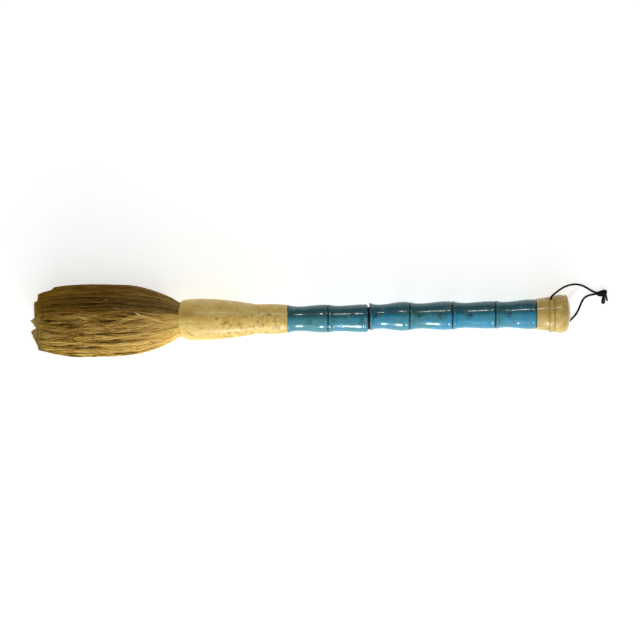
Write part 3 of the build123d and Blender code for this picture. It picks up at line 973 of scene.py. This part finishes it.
def gather(rng, hairs, locks, clumps, depth, share):
    """Shares the hairs out to clumps and locks, and gives each its depth and its angles."""
    clump_lock = np.concatenate([np.arange(locks), rng.integers(0, locks, clumps - locks)])
    clump = rng.integers(0, clumps, hairs)
    lock = clump_lock[clump]
    lock_angle = (np.arange(locks) + rng.uniform(0, 1, locks)) * 2 * math.pi / locks
    lock_depth = 1 - np.sqrt(rng.uniform((1 - depth[1]) ** 2, (1 - depth[0]) ** 2, locks))
    layer = np.clip(lock_depth[lock] + rng.normal(0, DEPTH_SPREAD, hairs), 0, 0.99)
    width = GATHERED * math.pi / locks
    clump_angle = rng.normal(0, width, clumps)[clump][:, None] * pinch(rng, lock, share, *LOCK_PINCH)
    own_angle = rng.normal(0, width * CLUMP_SPREAD, (hairs, 1)) * pinch(rng, clump, share, *CLUMP_PINCH)
    return lock, clump, layer, lock_angle[lock][:, None] + clump_angle + own_angle


def trim(rng, clump, clumps, across, up):
    """The station where each hair ends."""
    hairs = len(clump)
    tips = end_station(across, up) + rng.normal(0, TIP_SPREAD, hairs)
    tips += rng.normal(0, TIP_SPREAD, clumps)[clump]
    short = rng.random(hairs) < SHORT_HAIRS
    return tips + short * rng.uniform(*SHORT_BY, hairs) * MM


def lightness(varied, own, layer, across, places):
    """How light each hair is along its length, from 0 to 1, painted light and shade included: streaked on the -Y
    side, calm on the other.
    """
    stations = places[0]
    streaked = by_place(across, STREAKED)[:, None]
    tone = MIDDLE_TONE + varied * streaked + own * (0.3 + 0.7 * streaked)
    # Painted light and shade: by place across, by depth, and at the roots by side.
    tone += by_place(across, PAINTED_SIDE_LIGHT_AND_SHADE)[:, None]
    tone += by_place(layer, PAINTED_DEPTH_SHADE)[:, None]
    tone += by_place(stations, TIP_SHADES)
    tone += by_place(stations, CALM_TIP_SHADES) * (1 - streaked)
    tone += by_place(stations, ROOT_PAINTED_LIGHT_AND_SHADE) * (streaked * 1.4 - 0.4)
    # Painted shadows where the locks part.
    for gap in PAINTED_GAP_SHADOWS:
        tone -= GAP_SHADOW_TONE * blot(places, *gap)
    return np.clip(tone, 0, 1)


def make_strands(name, seed, hairs, locks, depth, points, from_station, loose=1.0, thick=1.0):
    """A layer of hairs in locks and finer clumps that wander, pinch together and cross."""
    rng = np.random.default_rng(seed)
    clumps = locks * CLUMPS_PER_LOCK
    share = np.linspace(0, 1, points)[None, :]
    lock, clump, layer, angle = gather(rng, hairs, locks, clumps, depth, share)
    across, up = (1 - layer) * np.cos(angle[:, -1]), (1 - layer) * np.sin(angle[:, -1])
    tips = trim(rng, clump, clumps, across, up)
    stations = from_station + (tips[:, None] - from_station) * share
    radius = belly_radius(stations)
    settle = np.clip(share / SETTLED_BY, 0, 1)
    combed = loose * by_place(across, COMBED)[:, None]
    aside = wave(rng, lock, share, *LOCK_SWAY) + wave(rng, clump, share, *CLUMP_SWAY)
    aside = aside * combed + wave(rng, np.arange(hairs), share, *HAIR_SWAY)
    angle = angle + aside * settle / radius
    lift = wave(rng, lock, share, *LOCK_LIFT) + wave(rng, clump, share, *CLUMP_LIFT)
    lift = np.minimum(lift * combed, MOST_LIFT) + np.abs(rng.normal(0, HAIR_LIFT, (hairs, 1)))
    reach = np.maximum(radius * (1 - layer[:, None]) + lift * settle, 0.0002)
    centres = front_axis.points(stations, angle, reach)
    thickness = STRAND_RADIUS * thick * rng.uniform(*THICKNESS_RANGE, (hairs, 1)) * by_place(share, TAPER)
    centres[..., 2] = np.maximum(centres[..., 2], thickness)
    varied = rng.normal(0, LOCK_TONE, locks)[lock] + rng.normal(0, CLUMP_TONE, clumps)[clump]
    varied = varied[:, None] + wave(rng, clump, share, *TONE_WAVE)
    own = rng.normal(0, HAIR_TONE, (hairs, 1))
    tone = lightness(varied, own, layer, across, (stations, angle, radius))
    along = share if from_station > mouth_station - 0.01 else 0.55 + 0.45 * share
    return strand_mesh(name, centres, thickness, tone, along)


def make_stray_hairs():
    """Single pale hairs lying a little proud of the rest; their near-white colour is partly a painted glint. The
    first is the thickest and palest.
    """
    share = np.linspace(-0.5, 0.5, 7)
    others = len(STRAY_HAIRS) - 1
    rows = []
    for station, degrees, length, slant in STRAY_HAIRS:
        turn = math.radians(slant)
        stations = station + share * length * math.cos(turn)
        radius = belly_radius(stations) + STRAY_LIFT + STRAY_ARCH * (0.25 - share**2) * 4
        angles = math.radians(degrees) + share * length * math.sin(turn) / radius
        rows.append(front_axis.points(stations, angles, radius))
    centres = np.array(rows)
    centres[..., 2] = np.maximum(centres[..., 2], 0.0003)
    thickest = np.array([LINT_RADIUS] + [STRAY_RADIUS] * others)
    thickness = thickest[:, None] * np.interp(np.abs(share), [0, 0.5], [1, 0.4])
    # Near-white tones, partly a painted glint.
    tone = np.array([LINT_GLINT_TONE] + [STRAY_GLINT_TONE] * others)[:, None]
    return strand_mesh("hair_strays", centres, thickness, tone, 0.5)


def make_hair_body():
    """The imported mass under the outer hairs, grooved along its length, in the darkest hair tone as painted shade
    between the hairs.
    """
    rows = [(station, radius * BODY_SHARE) for station, radius in tuft_rows(*BODY_SKIN)]
    root = mouth_station + BODY_ROOT_DEPTH
    outline = BODY_END + rows[::3] + [(root, radius) for radius in BODY_ROOT_RADII]
    vertices = []
    for station, radius in outline:
        for side in range(BODY_SIDES):
            angle = 2 * math.pi * side / BODY_SIDES
            point = front_axis.at(station, angle, radius)
            groove = GROOVE_DEPTH * noise.noise(point * GROOVE_SCALE)
            place = front_axis.at(station, angle, radius * (1 + groove))
            place.z = max(place.z, TABLE_GAP)
            vertices.append(place)
    piece = mesh_object("hair_body", vertices, ring_faces(len(outline), BODY_SIDES, closed=True))
    piece.data.flip_normals()
    # The darkest hair tone, painted shade for the depths between the outer hairs.
    write_attribute(piece, "tone", np.full(len(vertices), 0.05))
    write_attribute(piece, "along", np.full(len(vertices), 0.5))
    return piece


def make_hair(material):
    root = mouth_station + ROOT_DEPTH
    pieces = []
    for number, (hairs, locks, depth, loose) in enumerate(OUTER_LAYERS, start=1):
        name = f"hair_strands_{number}"
        seed = HAIR_SEED + number
        pieces.append(make_strands(name, seed, hairs, locks, depth, OUTER_POINTS, root, loose))
    pieces += [make_stray_hairs(), make_hair_body()]
    for number, (name, *recipe) in enumerate(FILLINGS, start=FILLING_SEED):
        pieces.append(make_strands(f"hair_strands_{name}", HAIR_SEED + number, *recipe))
    for piece in pieces:
        piece.data.materials.append(material)
        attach(piece, "brush")
    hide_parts("hair_outer_tuft")
    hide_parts("hair_core_tuft")


# ======== Studio ========
DAYLIGHT = (0.95, 1.0, 0.99)
WARM = (1.0, 0.97, 0.92)
BRUSH = (0.0, 0.0, 0.015)
# Each light: name, place, what it points at, width, height, power and colour.
LIGHTS = [
    ("window", (0.0, -1.22, 0.46), BRUSH, 1.5, 0.85, 6.2, DAYLIGHT),
    ("ceiling_panel", (0.0, -0.64, 1.2), BRUSH, 1.8, 1.1, 5.0, DAYLIGHT),
    ("lamp", (0.03, -0.48, 0.155), (0.03, 0, 0.015), 0.09, 0.16, 1.35, DAYLIGHT),
    ("ceiling_tube", (0.1, 0.76, 0.95), (0.1, 0, 0.015), 0.34, 0.035, 3.0, WARM),
]
ROOM_COLOUR = (1.0, 0.93, 0.78, 1)
ROOM_STRENGTH = 0.16
TABLE_SIZE = 8
TABLE_GLOW = 0.54


def area_light(name, place, target, width, height, power, colour):
    data = bpy.data.lights.new(name, "AREA")
    data.shape = "RECTANGLE"
    data.size, data.size_y = width, height
    data.energy = power
    data.color = colour
    light = add_object(name, data)
    light.location = place
    light.rotation_mode = "QUATERNION"
    light.rotation_quaternion = (Vector(target) - Vector(place)).to_track_quat("-Z", "Y")
    light.visible_camera = False


def make_studio():
    for light in LIGHTS:
        area_light(*light)
    world = bpy.data.worlds.new("room")
    world.use_nodes = True
    background = world.node_tree.nodes["Background"].inputs
    background["Color"].default_value = ROOM_COLOUR
    background["Strength"].default_value = ROOM_STRENGTH
    bpy.context.scene.world = world
    bpy.context.scene.view_settings.view_transform = "Standard"
    far = TABLE_SIZE
    corners = [(-far, -far, 0), (far, -far, 0), (far, far, 0), (-far, far, 0)]
    table = mesh_object("table", corners, [(0, 1, 2, 3)])
    glow = {"Emission_Color": (0.93, 0.97, 1.0, 1), "Emission_Strength": TABLE_GLOW}
    paper = plain_material("table_paper", (0.95,) * 3, (0.93,) * 3, 3, 0.8, 0, **glow)
    table.data.materials.append(paper)


make_camera()
make_loop(cord_material())
make_segments(turquoise_material())
make_ferrule(bone_material())
make_cap(horn_material())
make_hair(hair_material())
dress_inner_pieces()
make_studio()
